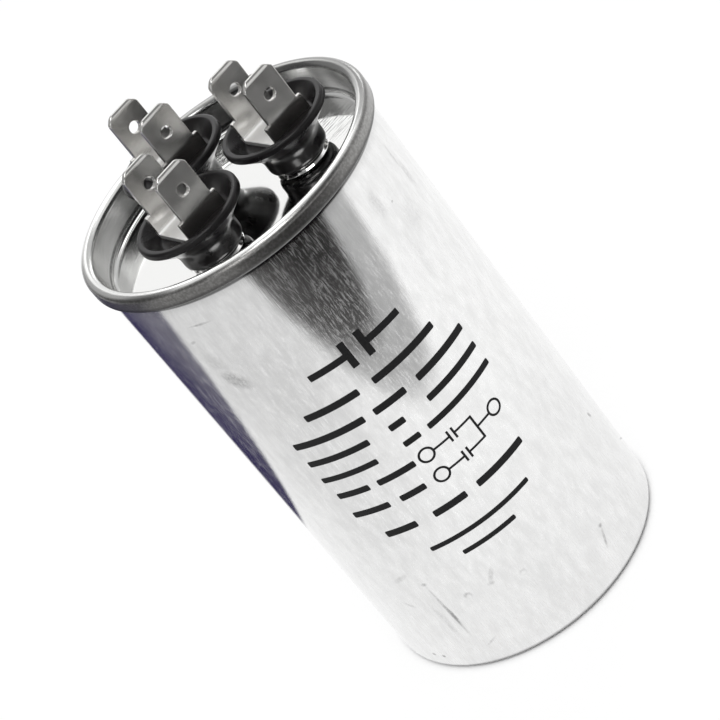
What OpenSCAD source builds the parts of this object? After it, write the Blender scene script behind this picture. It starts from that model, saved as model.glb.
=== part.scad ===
// Round oil-filled dual run capacitor in a drawn aluminium can.
// The lid is pressed from sheet and rolled onto the can in a double seam.
// Three moulded cups stand on the lid, each with one folded double tab held by a rivet.
// Millimetres, +Z up along the can, origin at the middle of the base.

/* [Can] */
// Outer diameter of the can
can_d = 50; // [46:0.5:65]
// Height from the base to the top of the rolled rim
can_h = 90; // [60:1:130]
// Sheet thickness of the can
can_t = 0.4; // [0.3:0.05:0.6]
// Outer radius of the bottom edge
can_corner = 1.5; // [1:0.1:4]

/* [Lid and seam] */
// Sheet thickness of the lid
lid_t = 0.45; // [0.3:0.05:0.6]
// Depth of the lid panel below the rim
lid_depth = 5.9; // [4.4:0.1:9]
// Inside bend radius where the panel turns up into the wall
lid_bend = 0.8; // [0.4:0.1:1.5]
// Height of the raised seat around each terminal hole
seat_h = 0.7; // [0.4:0.1:1]
// Slope of the side of a seat, in degrees from level
seat_slope = 50; // [40:1:65]
// Height of the rolled seam
seam_h = 3.1; // [2.8:0.1:4]
// How far the seam presses the wall of the can inwards
seam_press = 0.1; // [0.05:0.05:0.2]
// Radius of the two small bends where the wall is pressed in
press_bend = 1.2; // [1:0.1:2]
// Gap between neighbouring layers of the seam
seam_gap = 0.02; // [0.01:0.01:0.04]
// Space left at the end of each seam hook
hook_end_gap = 0.1; // [0.05:0.05:0.3]

/* [Cups] */
// Height of the cup lip over its seat on the lid
cup_h = 8; // [7:0.1:10]
// Diameter of the neck that stands on the seat
neck_d = 10.4; // [9:0.1:12]
// Radius at the foot of the neck
neck_round = 1.2; // [0.5:0.1:1.8]
// Slope of the flared underside, in degrees from level
flare = 40; // [36:1:44]
// Radius where the neck turns into the flare
flare_round = 1.2; // [0.5:0.1:1.5]
// Width of the lip, seen from above
lip_w = 1; // [0.8:0.1:1.5]
// Height of the outer edge of the lip
lip_h = 1.1; // [0.5:0.1:1.3]
// Radius on the two top edges of the lip
lip_round = 0.2; // [0.1:0.05:0.4]
// Depth of the bowl that holds the tab
bowl_depth = 2.4; // [2:0.1:3]
// Space between the tab corners and the lip
bowl_clear = 1.5; // [1:0.05:2]
// Space between the tab base and the foot of the bowl wall
floor_clear = 0.5; // [0.3:0.05:0.8]
// Gap between the lips of neighbouring cups
cup_gap = 1.9; // [1:0.1:3]
// Diameter of the spigot that passes through the lid
spigot_d = 6; // [5:0.1:7]
// Clearance around the spigot in the lid
spigot_clear = 0.1; // [0.05:0.05:0.3]

/* [Tabs] */
// Sheet thickness of the tab
tab_t = 0.8; // [0.5:0.1:1]
// Width of a blade
blade_w = 6.3; // [4.8:0.1:7]
// Length of a blade from its tip to the shoulders
blade_l = 7.7; // [6.5:0.1:10]
// Clear gap between the two blades
blade_gap = 8.8; // [7:0.1:10]
// Step out at each shoulder
shoulder_w = 0.85; // [0.5:0.05:1.2]
// Height of the shoulders over the base plate
shoulder_h = 3.3; // [2.5:0.1:5]
// Inside radius of the two folds
fold_r = 0.4; // [0.2:0.1:0.8]
// Size of the cut at each corner of a blade tip
tip_cut = 1.1; // [0.9:0.1:1.5]
// Radius on the two bends of each cut corner
tip_round = 0.7; // [0.2:0.1:0.8]
// Length of the bevel on a blade tip
bevel_l = 0.5; // [0.3:0.1:1]
// Thickness left at the bevelled tip
tip_t = 0.4; // [0.2:0.05:0.45]
// Diameter of the detent hole
detent_d = 2; // [1.5:0.1:2.4]
// Distance from the tip to the middle of the detent hole
detent_l = 4.1; // [3:0.1:4.5]

/* [Rivets] */
// Diameter of the shank
rivet_d = 3; // [2.4:0.1:3.6]
// Diameter of the head
rivet_head_d = 4.4; // [4:0.1:5]
// Height of the head
rivet_head_h = 0.8; // [0.6:0.1:1.2]
// Straight edge under the dome of the head
rivet_edge = 0.25; // [0.1:0.05:0.4]
// Diameter of the clinched tail
rivet_tail_d = 5; // [4.4:0.1:6]
// Clearance around the shank
rivet_clear = 0.1; // [0.05:0.05:0.2]
// Diameter of the insulating washer under the lid
washer_d = 14; // [9:0.5:16]
// Thickness of the insulating washer
washer_t = 1.2; // [0.8:0.1:2]
// Free space between the rivet tails and the filling
headspace = 4; // [2:0.5:10]

/* [Hidden] */

$fn = 96;
arc_steps = 8;

// Places of the terminals around the lid, in degrees
front_left_angle = 210;
front_right_angle = 330;
rear_angle = 90;

// Radii of the seam layers, from the inside out
can_r = can_d / 2;
wall_mid = can_r - can_t / 2;
pressed_mid = wall_mid - seam_press;
chuck_mid = pressed_mid - can_t / 2 - seam_gap - lid_t / 2;
cover_hook_mid = pressed_mid + can_t / 2 + seam_gap + lid_t / 2;
body_hook_mid = cover_hook_mid + lid_t / 2 + seam_gap + can_t / 2;
seam_wall_mid = body_hook_mid + can_t / 2 + seam_gap + lid_t / 2;

// The three turns of the seam
seam_top_r = (seam_wall_mid - chuck_mid) / 2;
body_turn_r = (body_hook_mid - pressed_mid) / 2;
cover_turn_r = (seam_wall_mid - cover_hook_mid) / 2;
seam_top_z = can_h - lid_t / 2 - seam_top_r;
seam_low_z = can_h - seam_h + lid_t / 2 + cover_turn_r;
seam_overlap = seam_top_z - seam_low_z;

// The wall bends in and straight again just under the seam
press_turn = acos(1 - seam_press / (2 * press_bend));
press_top_z = can_h - seam_h;
press_low_z = press_top_z - 2 * press_bend * sin(press_turn);

// Levels
panel_z = can_h - lid_depth;
under_lid_z = panel_z - lid_t;
seat_z = panel_z + seat_h;
lip_z = seat_z + cup_h;
floor_z = lip_z - bowl_depth;
base_top_z = floor_z + tab_t;
shoulder_z = base_top_z + shoulder_h;
tip_z = shoulder_z + blade_l;
washer_low_z = under_lid_z - washer_t;
tail_low_z = washer_low_z - rivet_head_h;
fill_z = tail_low_z - headspace;

// Tab outline
base_w = blade_w + 2 * shoulder_w;
base_l = blade_gap + 2 * tab_t;
fold_mid = fold_r + tab_t / 2;
fold_outer = fold_r + tab_t;
tip_tangent = tip_round * tan(22.5);

// Cup radii, set by the tab that the bowl surrounds
lip_inner_r = norm([base_l, base_w]) / 2 + bowl_clear;
lip_r = lip_inner_r + lip_w;
floor_r = norm([base_l / 2 - fold_outer, base_w / 2]) + floor_clear;
neck_r = neck_d / 2;
neck_top_z = lip_z - lip_h - (lip_r - neck_r) * tan(flare);
flare_tangent = flare_round * tan(45 - flare / 2);
spigot_r = spigot_d / 2;
bore_r = rivet_d / 2 + rivet_clear;
ring_r = (2 * lip_r + cup_gap) / sqrt(3);

// A seat is as wide as the flat foot of the neck, and its hollow follows at the sheet's thickness
seat_r = neck_r - neck_round;
seat_hollow_r = seat_r - lid_t * tan(seat_slope / 2);

// Unit vectors along a heading and to its left
function along(a) = [cos(a), sin(a)];
function left_of(a) = [-sin(a), cos(a)];

// Points of an arc about c
function arc(c, r, a0, a1) =
    [for (k = [0:arc_steps]) c + r * along(a0 + (a1 - a0) * k / arc_steps)];

// Stations [point, heading] along the middle line of a formed sheet.
// A move of one number is a straight run, and a move of two is a bend [radius, turn to the left].
function stations(moves, p, a, i = 0) =
    i == len(moves) ? [[p, a]]
    : len(moves[i]) == 1 ? concat([[p, a]], stations(moves, p + moves[i][0] * along(a), a, i + 1))
    : concat(bend_stations(p, a, moves[i][0], moves[i][1]),
             stations(moves, bend_point(p, a, moves[i][0], moves[i][1], 1), a + moves[i][1], i + 1));

function bend_stations(p, a, r, turn) =
    [for (k = [0:arc_steps - 1]) [bend_point(p, a, r, turn, k / arc_steps), a + turn * k / arc_steps]];

function bend_point(p, a, r, turn, part) =
    p + sign(turn) * r * (left_of(a) - left_of(a + turn * part));

// One face of the sheet, at a distance to the left of the middle line
function sheet_face(path, side) = [for (s = path) s[0] + side * left_of(s[1])];
function reversed(list) = [for (i = [len(list) - 1:-1:0]) list[i]];

// Closed outline of a sheet of even thickness
function sheet_outline(path, t) =
    concat(sheet_face(path, -t / 2), reversed(sheet_face(path, t / 2)));

// Drawn can: wall, bottom corner and body hook, with its winding and oil up to the fill level
module can() {
    hook = stations(
        [
            [press_low_z - fill_z],
            [press_bend, press_turn],
            [press_bend, -press_turn],
            [seam_top_z - press_top_z],
            [body_turn_r, -180],
            [seam_overlap - hook_end_gap]
        ],
        [wall_mid, fill_z], 90);
    outer = sheet_face(hook, -can_t / 2);
    inner = sheet_face(hook, can_t / 2);
    color("gainsboro")
    rotate_extrude()
    polygon(concat(
        [[0, 0]],
        arc([can_r - can_corner, can_corner], can_corner, -90, 0),
        [for (i = [1:len(outer) - 1]) outer[i]],
        reversed(inner),
        [[0, fill_z]]));
}

// Pressed lid: flat panel with three raised seats, upright wall, rolled top, seam wall and cover hook
module lid() {
    bend_mid = lid_bend + lid_t / 2;
    panel_mid_z = panel_z - lid_t / 2;
    path = stations(
        [
            [chuck_mid - bend_mid],
            [bend_mid, 90],
            [seam_top_z - panel_mid_z - bend_mid],
            [seam_top_r, -180],
            [seam_overlap],
            [cover_turn_r, -180],
            [seam_overlap - hook_end_gap]
        ],
        [0, panel_mid_z], 0);
    color("silver")
    difference() {
        union() {
            rotate_extrude() polygon(sheet_outline(path, lid_t));
            at_terminals() seat_cone(seat_z, panel_mid_z, seat_r);
        }
        at_terminals() {
            seat_cone(seat_z - lid_t, under_lid_z - lid_t, seat_hollow_r);
            translate([0, 0, seat_z - 2 * lid_t]) cylinder(r = spigot_r + spigot_clear, h = 3 * lid_t);
        }
    }
}

// Cone with the slope of a seat's side, from a low level up to its flat top
module seat_cone(top_z, low_z, top_r) {
    rise = top_z - low_z;
    translate([0, 0, low_z]) cylinder(r1 = top_r + rise / tan(seat_slope), r2 = top_r, h = rise);
}

module at_terminals() {
    for (place = [front_left_angle, front_right_angle, rear_angle]) at_terminal(place) children();
}

module at_terminal(place) {
    translate([ring_r * cos(place), ring_r * sin(place), 0]) children();
}

// Moulded cup: spigot, neck with a rounded foot, flared underside with a rounded start, lip and bowl
module cup() {
    lip_outer_c = [lip_r - lip_round, lip_z - lip_round];
    lip_inner_c = [lip_inner_r + lip_round, lip_z - lip_round];
    color("#1b1a1b")
    rotate_extrude()
    polygon(concat(
        [[bore_r, under_lid_z], [spigot_r, under_lid_z], [spigot_r, seat_z]],
        arc([neck_r - neck_round, seat_z + neck_round], neck_round, -90, 0),
        arc([neck_r + flare_round, neck_top_z - flare_tangent], flare_round, 180, 90 + flare),
        [[lip_r, lip_z - lip_h]],
        arc(lip_outer_c, lip_round, 0, 90),
        arc(lip_inner_c, lip_round, 90, 180),
        [[floor_r, floor_z], [bore_r, floor_z]]));
}

// Folded tab: one strip bent up into two parallel blades, with shoulders, bevelled tips and detents
module tab() {
    color("#9a9896")
    difference() {
        intersection() {
            rotate([90, 0, 90]) linear_extrude(base_w, center = true) tab_section();
            rotate([90, 0, 0]) linear_extrude(base_l, center = true) blade_outline();
        }
        translate([0, 0, tip_z - detent_l])
        rotate([90, 0, 0])
        cylinder(d = detent_d, h = 2 * base_l, center = true);
        translate([0, 0, floor_z - tab_t])
        cylinder(r = bore_r, h = 3 * tab_t);
    }
}

// Bent strip seen along the blade width, thinner at its two tips
module tab_section() {
    rise = tip_z - bevel_l - floor_z - tab_t / 2 - fold_mid;
    span = base_l - tab_t - 2 * fold_mid;
    path = stations(
        [[bevel_l], [rise], [fold_mid, 90], [span], [fold_mid, 90], [rise], [bevel_l]],
        [-(base_l - tab_t) / 2, tip_z], -90);
    last = len(path) - 1;
    half = [for (i = [0:last]) (i == 0 || i == last ? tip_t : tab_t) / 2];
    polygon(concat(
        [for (i = [0:last]) path[i][0] - half[i] * left_of(path[i][1])],
        [for (i = [last:-1:0]) path[i][0] + half[i] * left_of(path[i][1])]));
}

// Strip seen along the base: wide below the shoulders, then a blade with two cut and rounded corners
module blade_outline() {
    side_c = [blade_w / 2 - tip_round, tip_z - tip_cut - tip_tangent];
    top_c = [blade_w / 2 - tip_cut - tip_tangent, tip_z - tip_round];
    right_side = concat(
        [[base_w / 2, floor_z], [base_w / 2, shoulder_z], [blade_w / 2, shoulder_z]],
        arc(side_c, tip_round, 0, 45),
        arc(top_c, tip_round, 45, 90));
    polygon(concat(right_side, [for (p = reversed(right_side)) [-p[0], p[1]]]));
}

// Rivet: domed head on the tab base, shank through cup and lid, clinched tail under the washer
module rivet() {
    shank_r = rivet_d / 2;
    color("#b4b2ae")
    rotate_extrude()
    polygon(concat(
        dome(rivet_tail_d / 2, washer_low_z, -1),
        [[shank_r, washer_low_z], [shank_r, base_top_z]],
        reversed(dome(rivet_head_d / 2, base_top_z, 1))));
}

// Outline of a domed head from its axis to its seat, facing up (1) or down (-1)
function dome(r, seat_z, way) =
    let (rise = rivet_head_h - rivet_edge)
    let (big_r = (r * r + rise * rise) / (2 * rise))
    let (half = asin(r / big_r))
    concat(
        [for (k = [0:arc_steps])
            let (a = half * k / arc_steps)
            [big_r * sin(a), seat_z + way * (rivet_head_h - big_r * (1 - cos(a)))]],
        [[r, seat_z]]);

// Insulating washer clamped against the underside of the lid
module washer() {
    color("#6b4a2f")
    translate([0, 0, washer_low_z])
    difference() {
        cylinder(d = washer_d, h = washer_t);
        translate([0, 0, -washer_t]) cylinder(r = bore_r, h = 3 * washer_t);
    }
}

module cup_front_left() at_terminal(front_left_angle) cup();
module cup_front_right() at_terminal(front_right_angle) cup();
module cup_rear() at_terminal(rear_angle) cup();
module tab_front_left() at_terminal(front_left_angle) tab();
module tab_front_right() at_terminal(front_right_angle) tab();
module tab_rear() at_terminal(rear_angle) tab();
module rivet_front_left() at_terminal(front_left_angle) rivet();
module rivet_front_right() at_terminal(front_right_angle) rivet();
module rivet_rear() at_terminal(rear_angle) rivet();
module washer_front_left() at_terminal(front_left_angle) washer();
module washer_front_right() at_terminal(front_right_angle) washer();
module washer_rear() at_terminal(rear_angle) washer();

can();
lid();
cup_front_left();
cup_front_right();
cup_rear();
tab_front_left();
tab_front_right();
tab_rear();
rivet_front_left();
rivet_front_right();
rivet_rear();
washer_front_left();
washer_front_right();
washer_rear();
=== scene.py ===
# %% [markdown]
# # A motor run capacitor
#
# The part is a drawn aluminium can with a pressed lid rolled onto it. Three black cups stand on the
# lid, and each holds a tab that is folded into two upright blades. The solids are already there, in a
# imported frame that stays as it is. This lesson gives them finer skins, finishes, a floor, some light
# and a camera. All sizes are in millimetres until a mesh is made, and then in metres.

# %% Load the frame
import math

import bmesh
import bpy
import numpy as np
from mathutils import Matrix, Vector


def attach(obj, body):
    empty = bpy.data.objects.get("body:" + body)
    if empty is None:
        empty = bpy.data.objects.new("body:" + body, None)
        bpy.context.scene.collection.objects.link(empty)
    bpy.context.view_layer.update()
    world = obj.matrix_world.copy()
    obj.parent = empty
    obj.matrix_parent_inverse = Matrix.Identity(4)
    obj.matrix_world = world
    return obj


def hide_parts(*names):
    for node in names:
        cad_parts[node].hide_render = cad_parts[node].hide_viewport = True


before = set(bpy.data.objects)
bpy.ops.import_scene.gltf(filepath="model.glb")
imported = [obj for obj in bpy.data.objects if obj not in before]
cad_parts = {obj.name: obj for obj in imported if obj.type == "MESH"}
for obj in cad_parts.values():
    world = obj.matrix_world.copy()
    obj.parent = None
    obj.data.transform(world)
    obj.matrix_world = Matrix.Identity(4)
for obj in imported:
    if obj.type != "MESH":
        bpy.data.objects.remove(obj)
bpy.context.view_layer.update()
MM = 0.001
print("solids in the frame:", len(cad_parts))

# %% [markdown]
# ## Formed sheet
#
# The lid and the tabs are sheet metal that was cut flat and then bent. Blender's Solidify could
# thicken a drawn surface, but here the sheet is walked instead: its middle line is a list of straight
# runs and bends, as on a bending plan. That gives an exact heading at every row, and the heading gives
# the two faces of the sheet.


# %% Walk along a bend plan
def along(a):
    """Unit vector along heading a."""
    return np.stack([np.cos(a), np.sin(a)], -1)


def left_of(a):
    """Unit vector to the left of heading a."""
    return np.stack([-np.sin(a), np.cos(a)], -1)


def walk(start, heading, moves):
    """Middle line of a sheet, as points and headings.

    A move (length, None, rows) goes straight on. A move (radius, turn, rows) bends to the left by turn
    degrees: point = p + sign(turn) * radius * (left(a) - left(a + part * turn)), with part from 0 to 1.
    """
    points, headings = [np.array([start], float)], [np.radians([heading])]
    for size, turn, rows in moves:
        p, a = points[-1][-1], headings[-1][-1]
        part = np.linspace(0, 1, rows + 1)[1:]
        if turn is None:
            points.append(p + size * part[:, None] * along(a))
            headings.append(np.full(rows, a))
        else:
            swept = a + math.radians(turn) * part
            points.append(p + math.copysign(size, turn) * (left_of(a) - left_of(swept)))
            headings.append(swept)
    return np.concatenate(points), np.concatenate(headings)


print("a quarter bend of radius 1 ends at", walk((0, 0), 0, [(1, 90, 4)])[0][-1].round(3))

# %% [markdown]
# ## Grids and meshes
#
# Every skin below is a grid: rows follow a profile, and columns go round an axis or across a strip.
# One function numbers the cells of a grid, and one turns the numbers into a mesh. A row on the axis
# shares one vertex, so that the pole is closed with triangles.


# %% Cells of a grid
NO_TRIS = np.zeros((0, 3), int)


def cells(index):
    """Quads of a grid of vertex numbers: (row, column), (row, next), (next, next), (next, column)."""
    return np.stack([index[:-1, :-1], index[:-1, 1:], index[1:, 1:], index[1:, :-1]], -1)


def close_ring(index):
    """Repeats the first column as the last one, so that the cells go all the way round."""
    return np.column_stack([index, index[:, :1]])


def split_poles(quads):
    """A quad with two equal corners in a row is a triangle. Returns the true quads and the triangles."""
    low, high = quads[:, 0] == quads[:, 1], quads[:, 2] == quads[:, 3]
    return quads[~(low | high)], np.concatenate([quads[low][:, 1:], quads[high][:, :3]])


print("a grid of 3 by 4 points has", cells(np.arange(12).reshape(3, 4)).size // 4, "cells")

# %% Mesh of a piece
SHARP_ANGLE = math.radians(38)


def add_object(name, data):
    """A new object in the scene, at the origin."""
    obj = bpy.data.objects.new(name, data)
    bpy.context.scene.collection.objects.link(obj)
    return obj


def make_piece(name, points, quads, tris=NO_TRIS, slot=None, node=None):
    """Mesh object of the vertices that the faces use.

    It rides on the root, and stands for a node of the frame if one is named. Its slot is not used.
    """
    used = np.unique(np.concatenate([quads.ravel(), tris.ravel()]))
    number = np.zeros(len(points), int)
    number[used] = np.arange(len(used))
    mesh = bpy.data.meshes.new(name)
    faces = number[quads].tolist() + number[tris].tolist()
    mesh.from_pydata((points[used] * MM).tolist(), [], faces)
    mesh.shade_smooth()
    mesh.set_sharp_from_angle(angle=SHARP_ANGLE)
    piece = add_object(name, mesh)
    normals = piece.modifiers.new("even_normals", "WEIGHTED_NORMAL")
    normals.keep_sharp = True
    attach(piece, "root")
    if node:
        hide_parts(node)
    print(f"{name}: {len(mesh.polygons)} faces")
    return piece


# %% [markdown]
# ## Turned surfaces
#
# The can, the cups and the rivets are round. Spin would do it, but a profile in numpy keeps every row
# where it is wanted, so the wall of the can can have rows for its dents. A profile is listed with the
# material on its left, which makes the faces point outwards.


# %% Turn a profile
def turn(profile, columns, shift=0.0, start=0.0):
    """Points (r cos a, r sin a, z) for each (r, z) of the profile and each angle a; shift is added to r."""
    a = start + np.linspace(0, 2 * np.pi, columns, endpoint=False)
    r = profile[:, :1] + shift + 0 * a
    return np.stack([r * np.cos(a), r * np.sin(a), profile[:, 1:] + 0 * a], -1)


def turned_piece(name, profile, columns, centre=(0.0, 0.0), shift=0.0, **about):
    """A turned piece. A profile that ends on the axis gets a pole there; any other closes to a ring."""
    grid = turn(profile, columns, shift) + np.array([centre[0], centre[1], 0.0])
    index = np.arange(grid.shape[0] * columns).reshape(-1, columns)
    poles = profile[:, 0] < 1e-9
    index[poles] = index[poles][:, :1]
    if not poles.any():
        index = np.vstack([index, index[:1]])
    quads, tris = split_poles(cells(close_ring(index)).reshape(-1, 4))
    return make_piece(name, grid.reshape(-1, 3), quads, tris, **about)


print("a profile of 2 points, turned in 8 columns, has", turn(np.eye(2), 8).size // 3, "points")

# %% [markdown]
# ## The can
#
# The can is drawn from one aluminium slug: a flat base, a small radius and a long plain wall. Just
# under the rim the wall is pressed in a little, and then its edge turns over as the body hook of the
# seam. A real can isn't a perfect cylinder: handling leaves slow waves and shallow dents, which show
# only where the reflections bend. They are in the mesh, a few hundredths of a millimetre deep.

# %% Sizes of the can and the seam
CAN_R, CAN_H, CAN_T, CAN_CORNER = 25.0, 90.0, 0.4, 1.5
LID_T, LID_DEPTH, LID_BEND = 0.45, 5.9, 0.8
SEAM_H, SEAM_GAP, SEAM_PRESS, PRESS_BEND, HOOK_END_GAP = 3.1, 0.02, 0.1, 1.2, 0.1
FILL_Z = 77.65

wall_mid = CAN_R - CAN_T / 2
pressed_mid = wall_mid - SEAM_PRESS
chuck_mid = pressed_mid - CAN_T / 2 - SEAM_GAP - LID_T / 2
cover_mid = pressed_mid + CAN_T / 2 + SEAM_GAP + LID_T / 2
body_mid = cover_mid + LID_T / 2 + SEAM_GAP + CAN_T / 2
rim_mid = body_mid + CAN_T / 2 + SEAM_GAP + LID_T / 2
top_bend = (rim_mid - chuck_mid) / 2
body_bend = (body_mid - pressed_mid) / 2
cover_bend = (rim_mid - cover_mid) / 2
seam_top = CAN_H - LID_T / 2 - top_bend
seam_low = CAN_H - SEAM_H + LID_T / 2 + cover_bend
press_turn = math.degrees(math.acos(1 - SEAM_PRESS / (2 * PRESS_BEND)))
press_top = CAN_H - SEAM_H
press_low = press_top - 2 * PRESS_BEND * math.sin(math.radians(press_turn))
print(f"the rim is {2 * (rim_mid + LID_T / 2):.2f} mm across")

# %% Shape of the wall
CAN_COLUMNS = 288
WALL_ROWS = 120
FADE_H = 4.0
# Slow waves as (height, lobes around the can, climb in millimetres for each radian, phase)
WAVES = [(0.006, 3, 19, 0), (0.004, 5, -11, 1), (0.003, 9, 7, 2)]
# Dents as (angle in degrees, height, depth, half width along the arc, half height)
DENTS = [
    (-137, 16.0, 0.05, 1.2, 1.0),
    (-125, 17.5, 0.04, 2.0, 2.5),
    (-82, 9.0, 0.05, 1.4, 2.2),
    (-148, 13.0, 0.03, 1.0, 7.0),
    (-58, 74.0, 0.04, 6.0, 4.0),
    (35, 30.0, 0.06, 4.0, 3.0),
    (110, 62.0, 0.05, 3.0, 5.0),
]


def wall_shift(angle, z):
    """Distance of the wall from a true cylinder: the slow waves, less a bell curve for each dent."""
    shift = sum(tall * np.sin(lobes * angle + z / climb + phase) for tall, lobes, climb, phase in WAVES)
    for degrees, height, depth, wide, high in DENTS:
        arc = CAN_R * np.angle(np.exp(1j * (angle - math.radians(degrees))))
        shift = shift - depth * np.exp(-((arc / wide) ** 2) - ((z - height) / high) ** 2)
    return shift


print(f"{len(WAVES)} waves and {len(DENTS)} dents in the wall")

# %% Make the can
hook, hook_heading = walk(
    (wall_mid, FILL_Z),
    90,
    [
        (press_low - FILL_Z, None, 1),
        (PRESS_BEND, press_turn, 6),
        (PRESS_BEND, -press_turn, 6),
        (seam_top - press_top, None, 1),
        (body_bend, -180, 10),
        (seam_top - seam_low - HOOK_END_GAP, None, 1),
    ],
)
hook_out = hook - CAN_T / 2 * left_of(hook_heading)
hook_in = hook + CAN_T / 2 * left_of(hook_heading)
corner = np.radians(np.linspace(-90, 0, 13))
base = np.column_stack([np.linspace(0, CAN_R - CAN_CORNER, 12), np.zeros(12)])
edge = np.array([CAN_R - CAN_CORNER, CAN_CORNER]) + CAN_CORNER * along(corner)
wall_z = np.linspace(CAN_CORNER, press_low, WALL_ROWS)
wall = np.column_stack([np.full(WALL_ROWS, CAN_R), wall_z])
can_profile = np.concatenate([base, edge[1:], wall[1:], hook_out[2:], hook_in[::-1], [[0, FILL_Z]]])

angles = np.linspace(0, 2 * np.pi, CAN_COLUMNS, endpoint=False)
is_wall = (can_profile[:, 0] == CAN_R) & (can_profile[:, 1] < press_low)
fade = np.minimum(1, np.minimum(can_profile[:, 1], press_low - can_profile[:, 1]).clip(0) / FADE_H)
can_shift = wall_shift(angles, can_profile[:, 1:]) * (fade * is_wall)[:, None]
can = turned_piece("can_skin", can_profile, CAN_COLUMNS, shift=can_shift, slot="can_aluminium", node="can")

# %% [markdown]
# ## Sheet with holes
#
# The lid has three holes and each tab has three. A Boolean would leave long thin faces around them.
# A grid can open by itself: the cells inside a box are left out, the nodes on the box are pulled onto
# the circle, and the grid lines around it fade back to their places. The sheet then gets its thickness
# from the headings of the walk, with a wall along every open edge.


# %% Pierce and thicken a grid
def pierce(flat, keep, at, inner, outer, radius):
    """Opens a round hole around node at. inner and outer are boxes in rows and columns from that node.

    A node becomes circle + f * (node - circle), where circle is its direction from the middle times the
    radius, and f grows from 0 on the inner box to 1 on the outer one.
    """
    row, column = np.indices(flat.shape[:2])
    rows_off, columns_off = np.abs(row - at[0]), np.abs(column - at[1])
    f = np.maximum(
        (rows_off - inner[0]) / (outer[0] - inner[0]),
        (columns_off - inner[1]) / (outer[1] - inner[1]),
    ).clip(0, 1)[..., None]
    away = flat - flat[at]
    distance = np.maximum(np.linalg.norm(away, axis=-1, keepdims=True), 1e-9)
    circle = flat[at] + radius * away / distance
    keep[at[0] - inner[0] : at[0] + inner[0], at[1] - inner[1] : at[1] + inner[1]] = False
    return circle + f * (flat - circle)


def thicken(middle, normal, half, quads, tris=NO_TRIS):
    """Two faces at half a thickness on either side of the middle, and a wall along each open edge.

    An edge is open if no other face runs along it the other way.
    """
    count = len(middle)
    points = np.concatenate([middle - half * normal, middle + half * normal])
    edges = np.concatenate(
        [quads[:, [k, (k + 1) % 4]] for k in range(4)] + [tris[:, [k, (k + 1) % 3]] for k in range(3)]
    )
    there, back = edges @ [count, 1], edges @ [1, count]
    rim = edges[~np.isin(there, back)]
    walls = np.stack([rim[:, 1], rim[:, 0], rim[:, 0] + count, rim[:, 1] + count], -1)
    both_quads = np.concatenate([quads, quads[:, ::-1] + count, walls])
    return points, both_quads, np.concatenate([tris, tris[:, ::-1] + count])


one_cell = cells(np.arange(4).reshape(2, 2)).reshape(-1, 4)
print("one cell, thickened, has", len(thicken(np.zeros((4, 3)), 0, 0, one_cell)[1]), "faces")

# %% [markdown]
# ## The lid
#
# The lid is pressed from bright sheet: a flat panel, a wall that leans out a little, and an edge that
# is rolled around the edge of the can. The walk follows all of it, from the middle of the panel to the
# cover hook inside the seam. Seaming rollers never leave a perfectly even edge, so the lower turn of the
# rim rises and falls by a few hundredths of a millimetre. Around each hole the sheet is pressed up
# into a low seat for the cup. A seat is round about its own hole, so it is a small turned patch, and
# its outer ring uses the same vertices as the opening that is pierced in the panel.

# %% Places on the lid
PANEL_Z = CAN_H - LID_DEPTH
SEAT_H, SEAT_SLOPE, SEAT_R, SEAT_BEND, PATCH_R = 0.7, 50, 4.0, 0.5, 5.5
SEAT_Z = PANEL_Z + SEAT_H
TAB_L, TAB_W = 10.4, 8.0
LIP_W, BOWL_CLEAR, CUP_GAP = 1.0, 1.5, 1.9
LIP_INNER_R = math.hypot(TAB_L, TAB_W) / 2 + BOWL_CLEAR
LIP_R = LIP_INNER_R + LIP_W
RING_R = (2 * LIP_R + CUP_GAP) / math.sqrt(3)
PLACES = {"front_left": 210, "front_right": 330, "rear": 90}
CENTRES = {name: RING_R * along(np.radians(angle)) for name, angle in PLACES.items()}
SPIGOT_HOLE_R = 3.1
print({name: centre.round(2).tolist() for name, centre in CENTRES.items()})

# %% Walk of the lid
RING_ROW, TAPER, TAPER_BEND = 12, 5.0, 1.0
bend_mid = LID_BEND + LID_T / 2
panel_mid_z = PANEL_Z - LID_T / 2
overlap = seam_top - seam_low
sin_t, cos_t = math.sin(math.radians(TAPER)), math.cos(math.radians(TAPER))
slant = (seam_top - panel_mid_z - bend_mid * (1 - sin_t) - TAPER_BEND * sin_t) / cos_t
panel_end = chuck_mid - bend_mid * cos_t - slant * sin_t - TAPER_BEND * (1 - cos_t)
lid_line, lid_heading = walk(
    (0, panel_mid_z),
    0,
    [
        (RING_R, None, RING_ROW),
        (panel_end - RING_R, None, 12),
        (bend_mid, 90 - TAPER, 8),
        (slant, None, 4),
        (TAPER_BEND, TAPER, 2),
        (top_bend, -180, 24),
        (overlap, None, 4),
        (cover_bend, -180, 12),
        (overlap - HOOK_END_GAP, None, 2),
    ],
)
print(f"the lid's walk has {len(lid_line)} rows")

# %% Grid of the lid
LID_COLUMNS, LID_START = 240, 30
PIERCED, BLENDED = (5, 20), (8, 30)
# Unevenness of the rolled edge as (height, waves around the rim, phase)
ROLL_WAVES = [(0.03, 3, 1), (0.02, 8, 0), (0.012, 17, 2)]
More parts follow.
